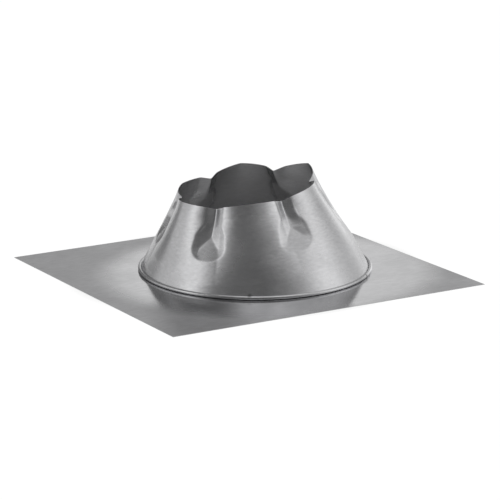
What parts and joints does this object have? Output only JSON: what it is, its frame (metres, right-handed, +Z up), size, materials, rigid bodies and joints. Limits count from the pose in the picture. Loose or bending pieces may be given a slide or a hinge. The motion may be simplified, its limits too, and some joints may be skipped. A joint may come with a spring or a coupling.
{
  "type": "roof flashing",
  "caption": "Pitched roof flashing: a square sheet with a tapered collar that is dimpled round its rim to centre a round chimney pipe.",
  "frame": {"origin": "middle of the square sheet, on its underside", "axes": "+Z up, square to the sheet; +X towards the side where the collar's rim stands highest; +Y along the sheet's other side"},
  "size_m": [0.56, 0.56, 0.1618],
  "materials": {
    "plate_sheet": "satin galvanised sheet, plain",
    "collar_sheet": "satin galvanised sheet, pressed"
  },
  "bodies": {
    "root": {"base_plate": "plate_sheet", "collar": "collar_sheet"}
  },
  "joints": []
}
